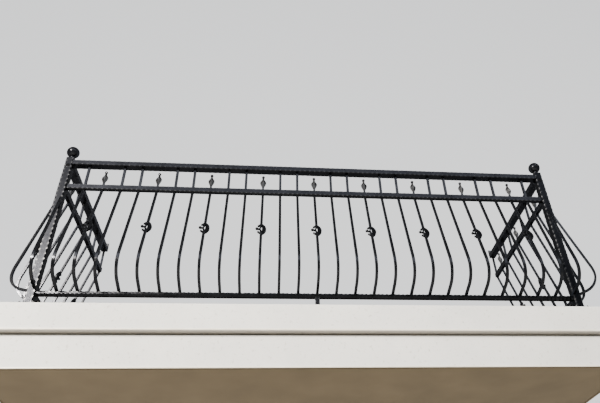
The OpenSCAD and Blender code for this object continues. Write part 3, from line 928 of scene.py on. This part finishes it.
def bandStations(outer, inset):  # points along a line that stands inset inside the slab's outer face
    low, high = outer
    left, right = low.x / mm + inset, high.x / mm - inset
    front, back = low.y / mm + inset, high.y / mm
    sideSteps = int((high.y - low.y) / mm / bandShape["step"])
    frontSteps = int((high.x - low.x) / mm / bandShape["step"])
    points = [(left, back + (front - back) * k / sideSteps, (1, 0)) for k in range(sideSteps)]
    points += [(left + (right - left) * k / frontSteps, front, (0, 1) if k else (1, 1))
               for k in range(frontSteps)]
    points += [(right, front + (back - front) * k / sideSteps, (-1, 0) if k else (-1, 1))
               for k in range(sideSteps + 1)]
    return points


def bandSweep(mesh, profile, faceMaterials):
    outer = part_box("upper_fascia")
    loops = []
    for line, z in ((bandStations(outer, inset), z) for inset, z in profile):
        loop = []
        for x, y, inward in line:
            swell = lumps.noise(Vector((x, y, z * 2)) / bandShape["waveLength"])
            wave = bandShape["wave"] * (0.5 + 0.5 * swell)
            loop.append(mesh.verts.new((Vector((x, y, z)) + Vector((*inward, 0)) * wave) * mm))
        loops.append(loop)
    rings = list(zip(*loops))
    for a, b in zip(rings, rings[1:]):
        bridge(mesh, a, b, faceMaterials)
    for ring in (rings[0], rings[-1]):
        mesh.faces.new(ring).material_index = 0


def roundedEdge(inset, top, radius, count):  # from a band's top round to its face
    return [(inset + radius * math.cos(math.radians(a)), top - radius + radius * math.sin(math.radians(a)))
            for a in (90 + 90 * k / count for k in range(count + 1))]


def upperBand():
    low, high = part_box("upper_fascia")
    bottom, top = low.z / mm, high.z / mm
    s = bandShape
    inner, r = s["inner"], s["upperRound"]
    profile = [(inner, top), (80, top), (40, top)] + roundedEdge(1 + r, top, r, 5)
    profile += [(1, z) for z in (top - 30, top - 65, top - 100, bottom + 30)]
    materials = [0] * len(profile)
    profile += [(inset, bottom + z) for inset, z in s["bead"]] + [(8.0, bottom)]
    materials += [1] * len(s["bead"]) + [3]
    profile += [(24, bottom + 0.6), (40, bottom + 0.6), (70, bottom + 0.6), (inner, bottom)]
    materials += [3, 2, 2, 0]
    mesh = bmesh.new()
    bandSweep(mesh, profile, materials)
    finishes = [renderMat, beadHighlightMat, gapShadeTapeMat, undersideShadeMat]
    return finishPiece("upperBand", mesh, finishes, ["upper_fascia"], 50)


def lowerBand():
    low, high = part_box("lower_fascia")
    bottom, top = low.z / mm, high.z / mm
    s = bandShape
    face, inner, deep, lip = s["lowerInset"], s["inner"], s["gapDepth"], top - s["shadowGap"]
    profile = [(inner, top), (deep, top), (deep, lip), (56, lip)]
    profile += roundedEdge(face + 6, lip, s["lowerRound"], 4)
    materials = [2, 2, 2] + [0] * (len(profile) - 3)
    profile += [(face + 1, z) for z in (top - 60, top - 95, top - 130, bottom + 30)]
    materials += [0] * 4
    profile += [(face + inset, bottom + z) for inset, z in s["bead"]]
    materials += [1] * (len(s["bead"]) - 1) + [3]
    drip = ((14, 0.4), (15, 5), (22, 5), (23, 0.4), (50, 0.4))  # a groove in the underside that sheds water
    profile += [(face + inset, bottom + z) for inset, z in drip] + [(inner, bottom)]
    materials += [3, 3, 3, 3, 3, 0]
    mesh = bmesh.new()
    bandSweep(mesh, profile, materials)
    finishes = [renderMat, beadHighlightMat, gapShadeTapeMat, soffitPaintAndShadeMat]
    return finishPiece("lowerBand", mesh, finishes, ["lower_fascia"], 50)


upperBand()
lowerBand()
print("bands rendered")


# Floor: stoneware tiles on a bed of grout

tileShape = {
    "size": 298, "joint": 5, "thick": 9, "bevel": 1.4, "uneven": 0.5, "narrowest": 20, "bedSunk": 2.0,
}


def tileSpans(start, end, centred):  # where the tiles lie between two edges, a joint apart
    s = tileShape
    pitch, half = s["size"] + s["joint"], s["joint"] / 2
    spans, x = [], start
    if centred:
        x = (start + end) / 2 - pitch * math.ceil((end - start) / 2 / pitch)
    while x < end:
        a, b = max(x, start) + half, min(x + pitch, end) - half
        if b - a > s["narrowest"]:
            spans.append((a, b))
        x += pitch
    return spans


def tiledFloor():
    low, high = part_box("floor_finish")
    s = tileShape
    mesh = bmesh.new()
    rng = random.Random("tiles")
    size, middle = high - low, (low + high) / 2
    bedThick = size.z - s["bedSunk"] * mm
    for v in bmesh.ops.create_cube(mesh, size=1.0)["verts"]:
        x, y, z = v.co
        v.co = Vector((x * size.x + middle.x, y * size.y + middle.y, (z + 0.5) * bedThick + low.z))
    for f in mesh.faces:
        f.material_index = 1
    for ax, bx in tileSpans(low.x / mm, high.x / mm, True):
        for ay, by in tileSpans(low.y / mm, high.y / mm, False):
            top = high.z / mm - rng.uniform(0.0, s["uneven"])
            rings = []
            for drop, inset in ((s["thick"], 0), (s["bevel"], 0), (0.3, 0.6), (0, s["bevel"])):
                z = top - drop
                corners = ((ax + inset, ay + inset), (bx - inset, ay + inset),
                           (bx - inset, by - inset), (ax + inset, by - inset))
                rings.append([mesh.verts.new(Vector((x, y, z)) * mm) for x, y in corners])
            for a, b in zip(rings, rings[1:]):
                bridge(mesh, a, b, [0] * 4)
            mesh.faces.new(rings[0])
            mesh.faces.new(rings[-1])
    return finishPiece("tiledFloor", mesh, [tileMat, groutMat], ["floor_finish"], 25)


tiledFloor()
print("floor tiled")


# Floor of the studio, lights and camera

studioLook = {
    "floorHeight": -2.8, "floorColour": "#D9D7D2", "worldBehind": "#FAFBFC", "worldBefore": "#A8AAAC",
    "worldStrength": 1.4, "floorReach": 9.0,
    "lights": {
        "keyLight": {"place": (-4.5, -6.6, 3.6), "target": (-0.2, -0.3, 0.6), "size": (0.8, 0.8),
                     "power": 1720, "colour": "#FFF6E8"},
        "skyLight": {"place": (0.6, -6.4, 5.7), "target": (0, -0.4, 1.2), "size": (10, 2.4),
                     "power": 260, "colour": "#F1F4FA"},
        "leftSky": {"place": (-4.4, -6.4, 5.4), "target": (-1.2, -0.4, 1.3), "size": (3, 2.4),
                    "power": 60, "colour": "#F4F5F8"},
    },
}


def studioFloor():
    mesh = bmesh.new()
    bmesh.ops.create_grid(mesh, x_segments=1, y_segments=1, size=studioLook["floorReach"])
    data = bpy.data.meshes.new("studioFloor")
    mesh.to_mesh(data)
    mesh.free()
    floor = bpy.data.objects.new("studioFloor", data)
    floor.location.z = studioLook["floorHeight"]
    bpy.context.scene.collection.objects.link(floor)
    # Emulsion paint on a smooth floor: matt and pale
    material, tree, shader = startMaterial("studioFloorPaint", 0.85)[:3]
    fillInputs(tree, shader, {"Base Color": linearColour(studioLook["floorColour"])})
    data.materials.append(material)


def softLight(name, place, target, size, power, colour):
    data = bpy.data.lights.new(name, "AREA")
    data.shape = "RECTANGLE"
    data.size, data.size_y = size
    data.energy = power
    data.color = linearColour(colour)[:3]
    lamp = bpy.data.objects.new(name, data)
    lamp.location = place
    lamp.rotation_euler = (Vector(target) - Vector(place)).to_track_quat("-Z", "Y").to_euler()
    bpy.context.scene.collection.objects.link(lamp)


studioFloor()
for name, light in studioLook["lights"].items():
    softLight(name, **light)


def paleStudio():
    # soft light from all round, paler behind the balcony than before it, as in a room with one white wall
    world = bpy.data.worlds.new("paleStudio")
    world.use_nodes = True
    tree = world.node_tree
    way = addNode(tree, "SeparateXYZ", {"Vector": addNode(tree, "TexCoord", out="Generated")}, "Y")
    amount = addNode(tree, "MapRange", {"Value": way, "From Min": -0.5, "From Max": 0.7})
    tones = ((0.0, studioLook["worldBefore"]), (1.0, studioLook["worldBehind"]))
    colour = addNode(tree, "ValToRGB", {"Fac": amount}, stops=tones)
    fillInputs(tree, tree.nodes["Background"], {"Strength": studioLook["worldStrength"], "Color": colour})
    bpy.context.scene.world = world


paleStudio()

# The camera stands in the street below, looking up; its lens and aim were fitted to the rails and posts
cameraPlan = {
    "place": (-0.2685, -3.4720, -1.2186), "pitch": 35.43, "yaw": 7.40, "roll": -3.07,
    "focal": 577.7, "centre": (334.6, 228.5), "frame": (600, 403),  # these three in the photograph's pixels
}


def streetCamera():
    c = cameraPlan
    pitch, yaw, roll = (math.radians(c[k]) for k in ("pitch", "yaw", "roll"))
    ahead = Vector((math.sin(yaw) * math.cos(pitch), math.cos(yaw) * math.cos(pitch), math.sin(pitch)))
    level = Vector((math.cos(yaw), -math.sin(yaw), 0))
    upright = level.cross(ahead)
    right = math.cos(roll) * level + math.sin(roll) * upright
    up = -math.sin(roll) * level + math.cos(roll) * upright
    data = bpy.data.cameras.new("streetCamera")
    data.sensor_width = 36
    data.lens = c["focal"] / c["frame"][0] * data.sensor_width
    data.shift_x = (c["frame"][0] / 2 - c["centre"][0]) / c["frame"][0]
    data.shift_y = (c["centre"][1] - c["frame"][1] / 2) / c["frame"][0]
    camera = bpy.data.objects.new("streetCamera", data)
    camera.matrix_world = Matrix.Translation(c["place"]) @ Matrix((right, up, -ahead)).transposed().to_4x4()
    bpy.context.scene.collection.objects.link(camera)
    bpy.context.scene.camera = camera


streetCamera()
print("stage, lights and camera set")

# The solids that are shown as they are get their finishes
finishes = {"concrete_slab": concreteMat, "soffit_board": soffitPaintAndShadeMat, "floor_finish": tileMat,
            "upper_fascia": renderMat, "lower_fascia": renderMat}
for name, node in nodes.items():
    node.data.materials.clear()
    node.data.materials.append(finishes.get(name, ironMat))
